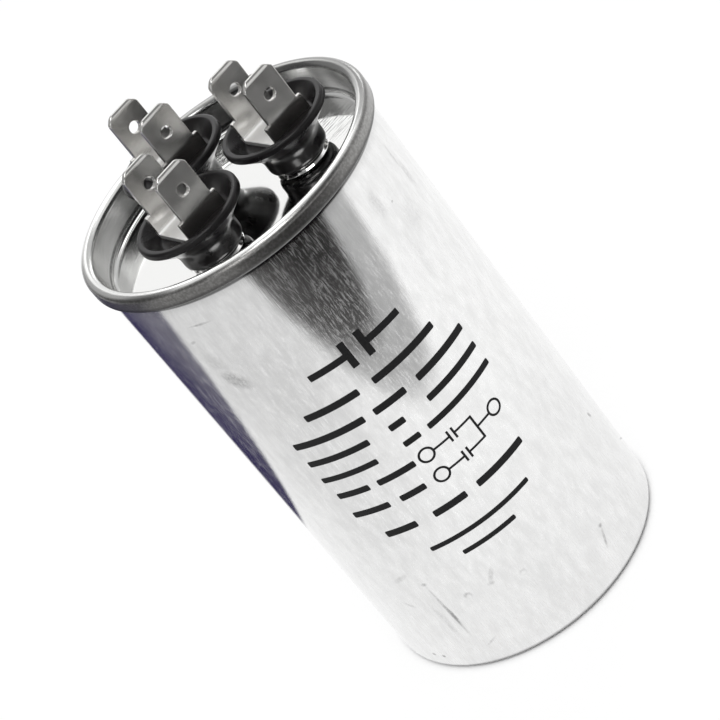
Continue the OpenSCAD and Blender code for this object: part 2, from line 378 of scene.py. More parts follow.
# Rows at the top of the rim's outer side, at the start and the middle of its lower turn and at the end of
# the hook, and the share of that unevenness there
ROLL_ROWS, ROLL_SHARE = [62, 66, 72, 80], [0, 0.6, 1, 1]
first = math.radians(LID_START)
lid_angles = first + np.linspace(0, 2 * np.pi, LID_COLUMNS, endpoint=False)
lid_grid = turn(lid_line, LID_COLUMNS, start=first)
lid_open = np.ones((len(lid_line) - 1, LID_COLUMNS), bool)
hole_nodes = [(RING_ROW, (angle - LID_START) * LID_COLUMNS // 360) for angle in PLACES.values()]
for at in hole_nodes:
    lid_grid[..., :2] = pierce(lid_grid[..., :2], lid_open, at, PIERCED, BLENDED, PATCH_R)
roll = sum(tall * np.sin(waves * lid_angles + phase) for tall, waves, phase in ROLL_WAVES)
lid_grid[..., 2] += roll * np.interp(np.arange(len(lid_line)), ROLL_ROWS, ROLL_SHARE)[:, None]
lid_normal = turn(left_of(lid_heading), LID_COLUMNS, start=first)
lid_index = np.arange(lid_grid.shape[0] * LID_COLUMNS).reshape(-1, LID_COLUMNS)
lid_index[0] = 0
print(f"{np.count_nonzero(~lid_open)} cells are left open for the seats")

# %% Seats of the lid
half_turn = math.tan(math.radians(SEAT_SLOPE / 2))
tangent = SEAT_BEND * half_turn
top_corner = SEAT_R - LID_T / 2 * half_turn
low_corner = top_corner + SEAT_H / math.tan(math.radians(SEAT_SLOPE))
seat_line, seat_heading = walk(
    (SPIGOT_HOLE_R, panel_mid_z + SEAT_H),
    0,
    [
        (top_corner - tangent - SPIGOT_HOLE_R, None, 3),
        (SEAT_BEND, -SEAT_SLOPE, 6),
        (SEAT_H / math.sin(math.radians(SEAT_SLOPE)) - 2 * tangent, None, 2),
        (SEAT_BEND, SEAT_SLOPE, 6),
        (PATCH_R - low_corner - tangent, None, 3),
    ],
)


def seat_patch(at, centre, count):
    """Points, normals and quads of a seat: its walk, turned about the hole along the panel's edge nodes.

    Each edge node has a direction d from the hole's middle, and the patch is middle + r * d at height z.
    The last row takes the panel's numbers, and the others are numbered from count on.
    """
    rows_off, columns_off = (np.abs(n - m) for n, m in zip(np.indices(lid_index.shape), at))
    loop = lid_index[np.maximum(rows_off / PIERCED[0], columns_off / PIERCED[1]) == 1]
    away = (lid_grid.reshape(-1, 3)[loop, :2] - centre) / PATCH_R
    order = np.argsort(np.arctan2(away[:, 1], away[:, 0]))
    loop, away = loop[order], away[order]

    def about(profile):
        """Each (r, z) of a profile as r * d and z, for every d. The last row, the panel's, is left out."""
        flat = profile[:, None, :1] * away
        return np.concatenate([flat, np.repeat(profile[:, None, 1:], len(away), 1)], -1)[:-1].reshape(-1, 3)

    index = np.arange(count, count + (len(seat_line) - 1) * len(loop)).reshape(-1, len(loop))
    quads = cells(close_ring(np.vstack([index, loop]))).reshape(-1, 4)
    return about(seat_line) + np.append(centre, 0), about(left_of(seat_heading)), quads


print(f"a seat's walk has {len(seat_line)} rows and falls {seat_line[0, 1] - seat_line[-1, 1]:.2f} mm")

# %% Make the lid
lid_quads, lid_tris = split_poles(cells(close_ring(lid_index))[lid_open])
lid_points, lid_normals, lid_faces = [lid_grid.reshape(-1, 3)], [lid_normal.reshape(-1, 3)], [lid_quads]
for at, centre in zip(hole_nodes, CENTRES.values()):
    patch = seat_patch(at, centre, sum(len(points) for points in lid_points))
    for whole, part in zip((lid_points, lid_normals, lid_faces), patch):
        whole.append(part)
lid_points, lid_normals, lid_faces = map(np.concatenate, (lid_points, lid_normals, lid_faces))
lid_mesh = thicken(lid_points, lid_normals, LID_T / 2, lid_faces, lid_tris)
lid = make_piece("lid_skin", *lid_mesh, slot="lid_sheet", node="lid")

# %% [markdown]
# ## The cups
#
# The cups are moulded in black plastic: a neck on the lid, a flared underside, a lip and a shallow bowl
# for the tab. Nothing moulded has a sharp edge, so the profile is a list of corners with a radius at
# each. The rounding is worked out for all the corners at once.


# %% Round the corners of a profile
def rounded(corners, steps=7):
    """Closed profile from rows (r, z, radius): an arc in each corner.

    The arc touches both sides at radius / tan(half the corner's angle), and its middle lies on the line
    that halves the corner, at radius / sin(half). Its points turn evenly from one touch to the other.
    """
    corners = np.array(corners, float)
    p, radius = corners[:, :2], corners[:, 2:]
    to_last, to_next = np.roll(p, 1, 0) - p, np.roll(p, -1, 0) - p
    to_last /= np.linalg.norm(to_last, axis=1, keepdims=True)
    to_next /= np.linalg.norm(to_next, axis=1, keepdims=True)
    half = np.arccos((to_last * to_next).sum(1, keepdims=True).clip(-1, 1)) / 2
    inward = to_last + to_next
    middle = p + inward / np.linalg.norm(inward, axis=1, keepdims=True) * radius / np.sin(half)
    first = p + to_last * radius / np.tan(half) - middle
    last = p + to_next * radius / np.tan(half) - middle
    part = np.linspace(0, 1, steps)[None, :, None]
    swing = (np.pi - 2 * half)[:, None]
    leave, arrive = first[:, None] * np.sin((1 - part) * swing), last[:, None] * np.sin(part * swing)
    return (middle[:, None] + (leave + arrive) / np.sin(swing)).reshape(-1, 2)


square = [(0, 0, 0.1), (1, 0, 0.1), (1, 1, 0.1), (0, 1, 0.1)]
print("a square with round corners has", len(rounded(square)), "points")

# %% Make the cups
CUP_COLUMNS, CUP_H, FLOOR_H = 144, 8.0, 5.6
LIP_Z, FLOOR_Z = SEAT_Z + CUP_H, SEAT_Z + FLOOR_H
UNDER_LID_Z = PANEL_Z - LID_T
LIP_H, FLARE, NECK_R = 1.1, 40, 5.2
NECK_TOP_Z = LIP_Z - LIP_H - (LIP_R - NECK_R) * math.tan(math.radians(FLARE))
SPIGOT_R, BORE_R, BOWL_FLOOR_R = 3.0, 1.6, 6.16
# Corners as (distance from the axis, height, radius of the rounding)
cup_profile = rounded(
    [
        (BORE_R, UNDER_LID_Z, 0.05),
        (SPIGOT_R, UNDER_LID_Z, 0.05),
        (SPIGOT_R, SEAT_Z, 0.05),
        (NECK_R, SEAT_Z, NECK_R - SEAT_R),
        (NECK_R, NECK_TOP_Z, 3.2),
        (LIP_R, LIP_Z - LIP_H, 0.2),
        (LIP_R, LIP_Z, 0.42),
        (LIP_INNER_R, LIP_Z, 0.4),
        (BOWL_FLOOR_R, FLOOR_Z, 0.5),
        (BORE_R, FLOOR_Z, 0.1),
    ]
)


def at_each_place(kind, profile, columns, slot):
    """One turned piece at the place of each terminal."""
    return [
        turned_piece(f"{kind}_{name}_skin", profile, columns, centre, slot=slot, node=f"{kind}_{name}")
        for name, centre in CENTRES.items()
    ]


cups = at_each_place("cup", cup_profile, CUP_COLUMNS, "cup_plastic")

# %% [markdown]
# ## The tabs
#
# A tab is blanked as a flat strip with shoulders, cut corners and three holes, and then folded up at
# both ends. The grid is that flat strip. Two extra columns make the shoulders, and the width shrinks
# towards the tips. After the fold, the sheared edges get a small bevel: light on such an edge is what
# tells the eye that it is metal.

# %% Flat strip of a tab
TAB_T, BLADE_W, BLADE_L, SHOULDER_W = 0.8, 6.3, 7.7, 0.85
TIP_CUT, TIP_ROUND, TIP_T, BEVEL_L = 1.1, 0.7, 0.4, 0.5
FOLD_MID, BLADE_Y, TIP_Z = 0.8, 4.8, 102.2
# Distances of the first rows from the tip, and the length of the run around the detent hole
TIP_ROWS, HOLE_RUN = np.array([0, 0.2, 0.5, 0.9, 1.1, 1.4, 1.7]), 4.8
TIP_CELLS, HOLE_CELLS, SIDE_CELLS = len(TIP_ROWS) - 1, 12, 2
upright = TIP_Z - FLOOR_Z - TAB_T / 2 - FOLD_MID
span = 2 * (BLADE_Y - FOLD_MID)
blade_moves = [(step, None, 1) for step in np.diff(TIP_ROWS)] + [
    (HOLE_RUN, None, HOLE_CELLS),
    (BLADE_L - TIP_ROWS[-1] - HOLE_RUN, None, SIDE_CELLS),
    (upright - BLADE_L, None, 4),
]
strip, strip_heading = walk(
    (-BLADE_Y, TIP_Z),
    -90,
    blade_moves + [(FOLD_MID, 90, 8), (span, None, 20), (FOLD_MID, 90, 8)] + blade_moves[::-1],
)
rows = len(strip)
length = np.concatenate([[0], np.cumsum(np.linalg.norm(np.diff(strip, axis=0), axis=1))])
from_tip = np.minimum(length, length[-1] - length)
print(f"a tab's strip is {length[-1]:.1f} mm long")


# %% Cut the strip
def tip_half_width(s):
    """Half width of a blade at a distance s from its tip: a corner cut at 45 degrees, with rounded bends.

    The arcs start a tangent t = round * tan(22.5) before each bend. On them, half width = middle +
    sqrt(round^2 - (middle's distance - s)^2).
    """
    half = BLADE_W / 2
    t = TIP_ROUND * math.tan(math.radians(22.5))
    flat_arc = half - TIP_CUT - t + np.sqrt((TIP_ROUND**2 - (TIP_ROUND - s) ** 2).clip(0))
    side_arc = half - TIP_ROUND + np.sqrt((TIP_ROUND**2 - (TIP_CUT + t - s) ** 2).clip(0))
    bends = [s < t * math.sqrt(0.5), s < TIP_CUT - t * math.sqrt(0.5), s < TIP_CUT + t]
    return np.select(bends, [flat_arc, half - TIP_CUT + s, side_arc], half)


DETENT_R = 1.0
across = np.linspace(BLADE_W / 2, -BLADE_W / 2, 17)
columns = np.concatenate([[BLADE_W / 2 + SHOULDER_W], across, [-BLADE_W / 2 - SHOULDER_W]])
narrow = tip_half_width(from_tip) / (BLADE_W / 2)
flat = np.stack(np.broadcast_arrays(columns * narrow[:, None], length[:, None]), -1)
strip_open = np.ones((rows - 1, len(columns) - 1), bool)
detent_row, shoulder_row = TIP_CELLS + HOLE_CELLS // 2, TIP_CELLS + HOLE_CELLS + SIDE_CELLS
middle_column = len(columns) // 2
strip_open[:shoulder_row, [0, -1]] = strip_open[-shoulder_row:, [0, -1]] = False
# Holes as (row, cells left out, cells that bend, radius)
holes = [(row, 3, 6, DETENT_R) for row in (detent_row, rows - 1 - detent_row)] + [(rows // 2, 5, 7, BORE_R)]
for row, inner, outer, radius in holes:
    flat = pierce(flat, strip_open, (row, middle_column), (inner, inner), (outer, outer), radius)
print(f"detent holes {length[detent_row]:.2f} mm from the tips")


# %% Fold the tabs
def fold(flat):
    """Places a flat strip on the walk: the row's length gives (y, z) and the heading, and x stays."""
    y, z, a = (np.interp(flat[..., 1], length, values) for values in (*strip.T, strip_heading))
    normal = left_of(a)
    middle = np.stack([flat[..., 0], y, z], -1)
    return middle, np.concatenate([np.zeros(normal.shape[:-1] + (1,)), normal], -1)


SHEARED_ANGLE, EDGE_BEVEL = math.radians(50), 0.1
middle, normal = fold(flat)
to_tip = np.minimum(flat[..., 1], length[-1] - flat[..., 1])
half_t = (TIP_T + (TAB_T - TIP_T) * (to_tip / BEVEL_L).clip(0, 1)) / 2
strip_quads = cells(np.arange(middle.size // 3).reshape(rows, -1))[strip_open]
tab_mesh = thicken(middle.reshape(-1, 3), normal.reshape(-1, 3), half_t.reshape(-1, 1), strip_quads)
tabs = []
for name, centre in CENTRES.items():
    points = tab_mesh[0] + np.append(centre, 0)
    tab = make_piece(f"tab_{name}_skin", points, *tab_mesh[1:], slot="tab_tin", node=f"tab_{name}")
    soften = bmesh.new()
    soften.from_mesh(tab.data)
    sheared = [e for e in soften.edges if len(e.link_faces) == 2 and e.calc_face_angle() > SHEARED_ANGLE]
    bevel = dict(offset=EDGE_BEVEL * MM, segments=3, profile=0.5, affect="EDGES", clamp_overlap=True)
    bmesh.ops.bevel(soften, geom=sheared, **bevel)
    soften.to_mesh(tab.data)
    soften.free()
    tab.data.shade_smooth()
    tabs.append(tab)
print(f"each tab has {len(tabs[0].data.polygons)} faces after its edges are softened")

# %% [markdown]
# ## The rivets
#
# One rivet goes through each tab, cup and lid. Its head is a low dome with a straight edge. The dome
# is an arc whose radius follows from its width and rise.

# %% Make the rivets
RIVET_R, HEAD_R, TAIL_R, HEAD_H, HEAD_EDGE = 1.5, 2.2, 2.5, 0.8, 0.25
RIVET_COLUMNS, WASHER_T = 64, 1.2


def dome(radius, seat, way):
    """Points from the axis to the seat: an arc, then the straight edge.

    The radius of the arc is (r^2 + rise^2) / (2 rise).
    """
    rise = HEAD_H - HEAD_EDGE
    big = (radius**2 + rise**2) / (2 * rise)
    a = np.linspace(0, math.asin(radius / big), 11)
    cap = np.column_stack([big * np.sin(a), seat + way * (HEAD_H - big * (1 - np.cos(a)))])
    return np.concatenate([cap, [[radius, seat]]])


seat_low, seat_high = UNDER_LID_Z - WASHER_T, FLOOR_Z + TAB_T
shank = [[RIVET_R, seat_low], [RIVET_R, seat_high]]
rivet_profile = np.concatenate([dome(TAIL_R, seat_low, -1), shank, dome(HEAD_R, seat_high, 1)[::-1]])
rivets = at_each_place("rivet", rivet_profile, RIVET_COLUMNS, "rivet_metal")

# %% [markdown]
# ## The print
#
# The side of the can is printed in black. This part carries plain shapes only: a circuit sketch of two
# capacitors with a shared lead, a large capacitor symbol, and plain bars. Each shape is drawn flat, as
# arc and height, and then wrapped around the wall as a film that follows its dents.

# %% Bars
INK_STEP = 0.7


def bar(left, right, height, thick, corner=0.25):
    """A bar between two arcs. Within a corner of each end its height shrinks as a quarter circle."""
    x = np.linspace(left, right, max(2, int((right - left) / INK_STEP)) + 1)
    ends = corner * np.linspace(0, 1, 5)
    x = np.unique(np.concatenate([x, left + ends, right - ends]))
    inside = np.minimum(x - left, right - x).clip(0, corner) / corner
    half = thick / 2 - corner * (1 - np.sqrt(1 - (1 - inside) ** 2))
    return np.stack([np.stack([x, height - half], -1), np.stack([x, height + half], -1)])


def arc(degrees):
    """Arc length on the wall for an angle."""
    return CAN_R * math.radians(degrees)


# Bars as (height, thickness, pairs of angles)
LINES = [
    (59.4, 1.3, [(-142, -120), (-114, -85)]),
    (54.8, 1.3, [(-154, -124.5), (-120.5, -107), (-101.5, -76)]),
    (50.8, 1.2, [(-154, -128.5), (-120, -113.5), (-103, -76)]),
    (47.0, 1.1, [(-154, -130.5), (-119.5, -112.5), (-109, -76)]),
    (43.2, 1.2, [(-153, -139.5), (-136, -120.5)]),
    (38.7, 1.2, [(-153, -137.5), (-133, -122.5)]),
    (33.2, 1.3, [(-147, -134), (-127, -113), (-108, -85)]),
    (27.4, 0.9, [(-136.5, -92.5)]),
    (24.1, 0.9, [(-127.5, -104.5)]),
]
shapes = [bar(arc(a), arc(b), z, thick) for z, thick, pairs in LINES for a, b in pairs]
print(f"{len(shapes)} bars")


# %% Sketch and symbol
def ring(x, height, radius, stroke):
    """A ring: angle by two radii, radius + and - stroke / 2. Its last column repeats the first."""
    a = np.linspace(0, 2 * np.pi, 41)
    radii = np.array([radius + stroke / 2, radius - stroke / 2])[:, None]
    return np.stack([x + radii * np.cos(a), height + radii * np.sin(a)], -1)


def post(degrees, height, tall, thick, corner):
    """An upright bar at an angle."""
    return bar(arc(degrees) - thick / 2, arc(degrees) + thick / 2, height, tall, corner)


# The circuit sketch: two rows that end in rings, and a shared lead at the angle where they join
STROKE, STROKE_CORNER, RING_SIZE = 0.4, 0.05, 1.25
SKETCH_ROWS, SHARED_Z, JOIN = (43.2, 38.7), 40.95, -95.2
for z in SKETCH_ROWS:
    shapes.append(ring(arc(-115.5), z, RING_SIZE, STROKE))
    shapes += [bar(arc(a), arc(b), z, STROKE, STROKE_CORNER) for a, b in ((-112.6, -105.4), (-102.9, JOIN))]
    shapes += [post(a, z, 2.2, STROKE, STROKE_CORNER) for a in (-105.2, -103.1)]
shapes.append(post(JOIN, SHARED_Z, 4.5 + STROKE, STROKE, STROKE_CORNER))
shapes.append(bar(arc(JOIN), arc(-88.7), SHARED_Z, STROKE, STROKE_CORNER))
shapes.append(ring(arc(-85.8), SHARED_Z, RING_SIZE, STROKE))
# The large symbol: two leads and two plates
BOLD, BOLD_CORNER, SYMBOL_Z = 1.2, 0.1, 65.6
shapes += [bar(arc(a), arc(b), SYMBOL_Z, BOLD, BOLD_CORNER) for a, b in ((-131, -116), (-107, -92))]
shapes += [post(a, SYMBOL_Z, 5.0, BOLD, BOLD_CORNER) for a in (-115, -108)]
print(f"{len(shapes)} printed shapes")

# %% Wrap the print
INK_HALF = 0.015


def wrap(shape):
    """Flat (arc, height) to the wall: angle = arc / radius, and the wall's shift is added to the radius."""
    a, z = shape[..., 0] / CAN_R, shape[..., 1]
    out = np.stack([np.cos(a), np.sin(a), 0 * a], -1)
    return (CAN_R + wall_shift(a, z))[..., None] * out + np.stack([0 * z, 0 * z, z], -1), out


ink_points, ink_quads, count = [], [], 0
for shape in shapes:
    middle, out = wrap(shape)
    index = np.arange(middle.size // 3).reshape(middle.shape[:2])
    if np.allclose(shape[:, 0], shape[:, -1]):
        index[:, -1] = index[:, 0]
    quads = cells(index).reshape(-1, 4)
    points, faces, _ = thicken(middle.reshape(-1, 3), out.reshape(-1, 3), INK_HALF, quads[:, ::-1])
    ink_points.append(points)
    ink_quads.append(faces + count)
    count += len(points)
ink = make_piece("print_film", np.concatenate(ink_points), np.concatenate(ink_quads), slot="print_ink")

# %% [markdown]
# ## Shader maths
#
# A finish is a small formula: how bright, how rough and how bumpy a point is. Written as nodes it takes
# pages, and written as Python it takes a line. The class below wraps an output socket, and each operator
# on it adds one Math node. Any other node comes from one method that sets it up first and then fills
# its sockets.


# %% Sockets that can be added and multiplied
def plug(socket, value):
    """Links a wrapped socket, or sets a plain value."""
    if isinstance(value, Term):
        socket.id_data.links.new(value.output, socket)
    else:
        socket.default_value = value


def operator(kind, reflected=False):
    """A method that adds one Math node. Reflected, as in 1 - a, its operands change places."""

    def method(self, other):
        return self.math(kind, *((other, self) if reflected else (self, other)))

    return method


class Term:
    """An output socket with arithmetic: a + b, 1 - a and so on each add one Math node."""

    def __init__(self, output):
        self.output = output

    def math(self, operation, *operands):
        """One Math node on the operands."""
        node = self.output.id_data.nodes.new("ShaderNodeMath")
        node.operation = operation
        for socket, operand in zip(node.inputs, operands):
            plug(socket, operand)
        return Term(node.outputs[0])

    __add__, __radd__ = operator("ADD"), operator("ADD", True)
    __sub__, __rsub__ = operator("SUBTRACT"), operator("SUBTRACT", True)
    __mul__, __rmul__ = operator("MULTIPLY"), operator("MULTIPLY", True)
    __truediv__, __rtruediv__ = operator("DIVIDE"), operator("DIVIDE", True)
    __pow__, __rpow__ = operator("POWER"), operator("POWER", True)

    def __abs__(self):
        return self.math("ABSOLUTE", self)

    def most(self, other):
        """The larger of two values."""
        return self.math("MAXIMUM", self, other)


def reach(u, v):
    """Length of the flat vector (u, v)."""
    return (u * u + v * v) ** 0.5


# %% A finish and its nodes
OBJECT_OUTPUT, MIXED_COLOUR_OUTPUT = 3, 2


class Finish:
    """A material or world under construction."""

    def __init__(self, owner):
        self.owner = owner
        owner.use_nodes = True
        self.tree = owner.node_tree
        self.tree.nodes.clear()

    def node(self, kind, settings=None, sockets=None, output=0):
        """One node: its type, its settings, and the values or links of its sockets by identifier."""
        node = self.tree.nodes.new(kind)
        for name, value in (settings or {}).items():
            setattr(node, name, value)
        inputs = {socket.identifier: socket for socket in node.inputs}
        for name, value in (sockets or {}).items():
            plug(inputs[name], value)
        return Term(node.outputs[output]) if node.outputs else node

    def place(self):
        """Object coordinates, in metres."""
        return self.node("ShaderNodeTexCoord", output=OBJECT_OUTPUT)

    def split(self, place):
        """The x, y and z of a place."""
        outputs = self.node("ShaderNodeSeparateXYZ", sockets={"Vector": place}).output.node.outputs
        return [Term(socket) for socket in outputs]

    def noise(self, place, scale, detail=2.0, stretch=(1, 1, 1), rough=0.5):
        """Noise on a stretched place: the scale counts features per metre."""
        stretched = {"Vector": place, "Scale": tuple(scale * s for s in stretch)}
        spread = self.node("ShaderNodeMapping", {"vector_type": "POINT"}, stretched)
        sockets = {"Vector": spread, "Scale": 1.0, "Detail": detail, "Roughness": rough}
        return self.node("ShaderNodeTexNoise", sockets=sockets)

    def ease(self, value, low, high, start=0.0, end=1.0):
        """Smooth step of value from low to high, given as start to end."""
        return self.node(
            "ShaderNodeMapRange",
            {"interpolation_type": "SMOOTHSTEP"},
            {"Value": value, "From Min": low, "From Max": high, "To Min": start, "To Max": end},
        )

    def blend(self, factor, a, b):
        """Colour from a to b by factor."""
        start = (*a, 1) if isinstance(a, tuple) else a
        sockets = {"Factor_Float": factor, "A_Color": start, "B_Color": (*b, 1)}
        return self.node("ShaderNodeMix", {"data_type": "RGBA"}, sockets, MIXED_COLOUR_OUTPUT)

    def bump(self, height, depth):
        """Normal from a height of 0 to 1 that stands for a depth in metres."""
        return self.node("ShaderNodeBump", sockets={"Height": height, "Distance": depth, "Strength": 1.0})

    def mix(self, factor, first, second):
        """Shader from first to second by factor."""
        sockets = {"Fac": factor, "Shader": first, "Shader_001": second}
        return self.node("ShaderNodeMixShader", sockets=sockets)

    def surface(self, **sockets):
        """Principled surface to the output."""
        named = {name.replace("_", " "): value for name, value in sockets.items()}
        shader = self.node("ShaderNodeBsdfPrincipled", sockets=named)
        self.node("ShaderNodeOutputMaterial", sockets={"Surface": shader})


def new_finish(name):
    """An empty material, and the place of a point on it."""
    finish = Finish(bpy.data.materials.new(name))
    return finish, finish.place()


def give(finish, *pieces):
    """Puts a finish on pieces, in place of what they had."""
    for piece in pieces:
        piece.data.materials.clear()
        piece.data.materials.append(finish.owner)
    print(f"{finish.owner.name}: {len(finish.tree.nodes)} nodes on {len(pieces)} pieces")


# %% [markdown]
# ## Drawn aluminium
#
# The die leaves fine streaks along the can. Seen against a bright room they nearly vanish, and against
# a dark reflection each one catches the light, because it scatters a little. A pure mirror can't do
# that, so the streaks lower Metallic by a few hundredths: that share of the surface is lit from all
# sides. The few scrapes and smudges of a used can are listed as soft spots in arc and height that are
# darker and duller than the rest.

# %% Finish of the can
aluminium, spot = new_finish("drawn_aluminium")
x, y, z = aluminium.split(spot)
arc_place = x.math("ARCTAN2", y, x) * (CAN_R * MM)
streaks = aluminium.noise(spot, 5000, 3.0, (1, 1, 0.05), 0.6)
flecks = aluminium.noise(spot, 5200, 3.0, (1, 1, 0.15), 0.7)
hairs = aluminium.noise(spot, 9000, 2.0, (1, 1, 0.03), 0.6)
patches = aluminium.noise(spot, 700, 3.0, (1, 1, 0.4), 0.6)
grit = aluminium.noise(spot, 2600, 4.0, (1, 1, 0.6), 0.7)
clouds = aluminium.noise(spot, 90, 3.0, (1, 1, 0.5))
print(f"drawn aluminium: {len(aluminium.tree.nodes)} nodes for its patterns")


# %% Marks on the can
def mark(finish, angle, height, wide, high, lean=0.0):
    """Soft spot around (arc, height): 1 in its middle and 0 from its half width and half height on.

    The distance is sqrt((u / wide)^2 + (v / high)^2), where u and v are arc and height, turned by lean
    degrees.
    """
    u, v = arc_place - arc(angle) * MM, z - height * MM
    c, s = math.cos(math.radians(lean)), math.sin(math.radians(lean))
    across, along_it = (u * c + v * s) / (wide * MM), (v * c - u * s) / (high * MM)
    return finish.ease(reach(across, along_it), 0.25, 1.0, 1, 0)


# Scrapes and smudges as (angle, height, half width, half height, lean, strength)
MARKS = [
    (-147.9, 14.2, 0.40, 8.0, 3, 0.40),
    (-147.4, 13.0, 0.45, 3.2, 3, 0.60),
    (-152.0, 12.5, 0.90, 7.0, 3, 0.16),
    (-148.8, 21.0, 0.80, 0.5, 0, 0.35),
    (-136.8, 16.0, 1.00, 0.9, 0, 0.45),
    (-136.8, 15.8, 0.65, 0.6, 0, -0.45),
    (-115.0, 14.8, 0.90, 0.8, 0, 0.22),
    (-115.0, 14.6, 0.60, 0.5, 0, -0.22),
    (-125.0, 17.6, 0.60, 2.2, -33, 0.22),
    (-126.8, 16.2, 0.90, 0.6, 0, 0.22),
    (-141.4, 5.4, 0.30, 1.8, -60, 0.25),
    (-162.0, 16.8, 0.50, 1.6, 55, 0.20),
    (-156.0, 23.2, 2.40, 0.7, 25, 0.22),
    (-171.5, 3.6, 0.60, 0.4, 0, 0.80),
    (-166.5, 3.4, 0.50, 0.4, 0, 0.80),
    (-81.0, 10.0, 0.60, 0.5, 0, 0.50),
    (-82.7, 7.9, 0.40, 2.4, -22, 0.40),
    (-48.0, 21.0, 0.50, 1.0, 30, 0.60),
    (-31.0, 8.5, 0.30, 3.2, 55, 0.70),
    (-154.5, 70.2, 2.00, 3.4, 44, 0.45),
    (-157.0, 74.5, 2.20, 3.2, 30, 0.16),
    (-150.5, 82.0, 2.60, 0.3, 0, 0.40),
    (-158.8, 79.0, 0.80, 0.4, 20, 0.35),
    (-48.5, 76.0, 1.20, 3.4, 0, 0.24),
    (-50.0, 80.5, 0.50, 3.0, 0, 0.24),
    (-73.0, 79.5, 1.50, 3.5, 0, 0.22),
    (-71.5, 68.0, 1.20, 8.0, 0, 0.08),
    (-66.5, 77.3, 0.35, 0.3, 0, 0.60),
    (-62.0, 73.0, 4.00, 4.0, 20, 0.10),
    (60.0, 48.0, 1.40, 4.0, 25, 0.30),
    (125.0, 24.0, 0.30, 6.0, 8, 0.50),
]
ragged = aluminium.ease(grit, 0.38, 0.62)
wear = sum(
    mark(aluminium, *where) * (0.85 * strength * ragged + 0.65 * strength) for *where, strength in MARKS
)
# Heights in metres between which a zone of the wall fades in or out
# These zones are painted shade: a thin line at the foot of the can, and a line and a wider band just under
# the seam.
BASE_EDGE, RIM_EDGE, UNDER_SEAM = (0.0005, 0.0014), (0.0859, 0.0862), (0.0842, 0.0868)
under_seam_shade = aluminium.ease(z, *UNDER_SEAM) * 0.35
painted_edge_shade = aluminium.ease(z, *BASE_EDGE, 1, 0) * 0.85 + aluminium.ease(z, *RIM_EDGE) * 0.85
print(f"{len(MARKS)} marks on the can")

# %% Put the can's finish together
tone = aluminium.ease(patches * 0.5 + clouds * 0.25 + streaks * 0.25, 0.36, 0.64)
NEAR_RIM, LOW_DOWN = (0.066, 0.083), (0.010, 0.060)
near_rim = aluminium.ease(z, *NEAR_RIM)
scatter = aluminium.ease(streaks * 0.35 + flecks * 0.5 + patches * 0.15, 0.49, 0.59)
haze = scatter * (0.25 - 0.13 * near_rim)
clean_metal = aluminium.blend(tone, (0.815, 0.815, 0.812), (0.92, 0.92, 0.917))
low_down = aluminium.ease(z, *LOW_DOWN, 0.12, 0)
# Wear, the painted shade under the seam and a tone that is darker towards the bottom pull the metal towards
# grey.
worn_and_shaded_metal = aluminium.blend(wear + under_seam_shade + low_down, clean_metal, (0.34, 0.34, 0.34))
aluminium.surface(
    # Near black where shade is painted at the foot of the can and under the seam.
    Base_Color=aluminium.blend(painted_edge_shade, worn_and_shaded_metal, (0.10, 0.10, 0.10)),
    Metallic=1 - haze,
    Roughness=0.06 + 0.06 * streaks + 0.12 * wear,
    Normal=aluminium.bump(streaks * 0.35 + flecks * 0.35 + hairs * 0.3, 1.1e-5),
)
give(aluminium, can)

# %% [markdown]
# ## Bright sheet
#
# The lid is brighter than the can. Its panel is almost a mirror, the wall around it is satin, and the
# seaming rollers leave the outer side of the rim dull and grey. Painted shade darkens one side of the
# crown, the front of the rolled side, the lower turn of the rim and the groove at the foot of the wall.
# One material does all of it: the distance from the axis, the direction and the height say where a
# point is.

# %% Finish of the lid
bright, spot = new_finish("bright_sheet")
x, y, z = bright.split(spot)
radius = reach(x, y)
# Limits in metres: the panel ends on a cone, the rolled side at a radius, and the crown at a height
PANEL_EDGE, ROLLED_SIDE, CROWN_FOOT = (0.0986, 0.0990), (0.0257, 0.0261), (0.0889, 0.0893)
panel = bright.ease(z + 0.6 * radius, *PANEL_EDGE, 1, 0)
rolled = bright.ease(radius, *ROLLED_SIDE)
crown = bright.ease(z, *CROWN_FOOT)
mottle = bright.noise(spot, 160, 3.0, (1, 1, 6))
rolled_out = {"X": radius + 0.05 * x, "Y": 0.05 * y, "Z": z}
fine = bright.noise(bright.node("ShaderNodeCombineXYZ", sockets=rolled_out), 8000, 2.0)
dirt_and_shade = bright.ease(bright.noise(spot, 2500, 4.0), 0.35, 0.65)
# The groove at the foot of the wall gets painted shade, mixed with dirt.
GROOVE_Z, GROOVE_H, GROOVE_R = (PANEL_Z + 1.0) * MM, (0.0001, 0.0004), (0.0228, 0.0230)
in_groove = bright.ease(abs(z - GROOVE_Z), *GROOVE_H, 1, 0) * bright.ease(radius, *GROOVE_R)
groove = in_groove * (0.5 + 0.4 * dirt_and_shade)
print(f"bright sheet: {len(bright.tree.nodes)} nodes for its zones")

# %% Tone of the lid
# The scratched part of the panel, as its middle and half size in x and in y
SCRATCHED = ((0.0175, 0.0055), (-0.0062, 0.0065))
# Directions towards which painted shade darkens the crown and the rolled side of the rim
DARK_CROWN, DARK_ROLL = (0.9, 0.44), (-0.5, -0.866)
hairlines = bright.noise(spot, 3000, 3.0, (0.08, 1, 1), 0.6)
u, v = ((p - middle) / half for p, (middle, half) in zip((x, y), SCRATCHED))
scratches = bright.ease(hairlines, 0.51, 0.58) * panel * bright.ease(reach(u, v), 0.4, 1.0, 1, 0)
back_side = bright.ease((DARK_CROWN[0] * x + DARK_CROWN[1] * y) / radius, 0.1, 0.8)
front_band = bright.ease((DARK_ROLL[0] * x + DARK_ROLL[1] * y) / radius, 0.3, 0.9)
# Painted shade: the lower turn of the rim, which faces down, is darkened.
UNDER_Z, UNDER_R = (0.0874, 0.0880), (0.0251, 0.0254)
under_edge = bright.ease(z, *UNDER_Z, 1, 0) * bright.ease(radius, *UNDER_R)
sheet = bright.blend(mottle, (0.66, 0.66, 0.652), (0.86, 0.86, 0.85))
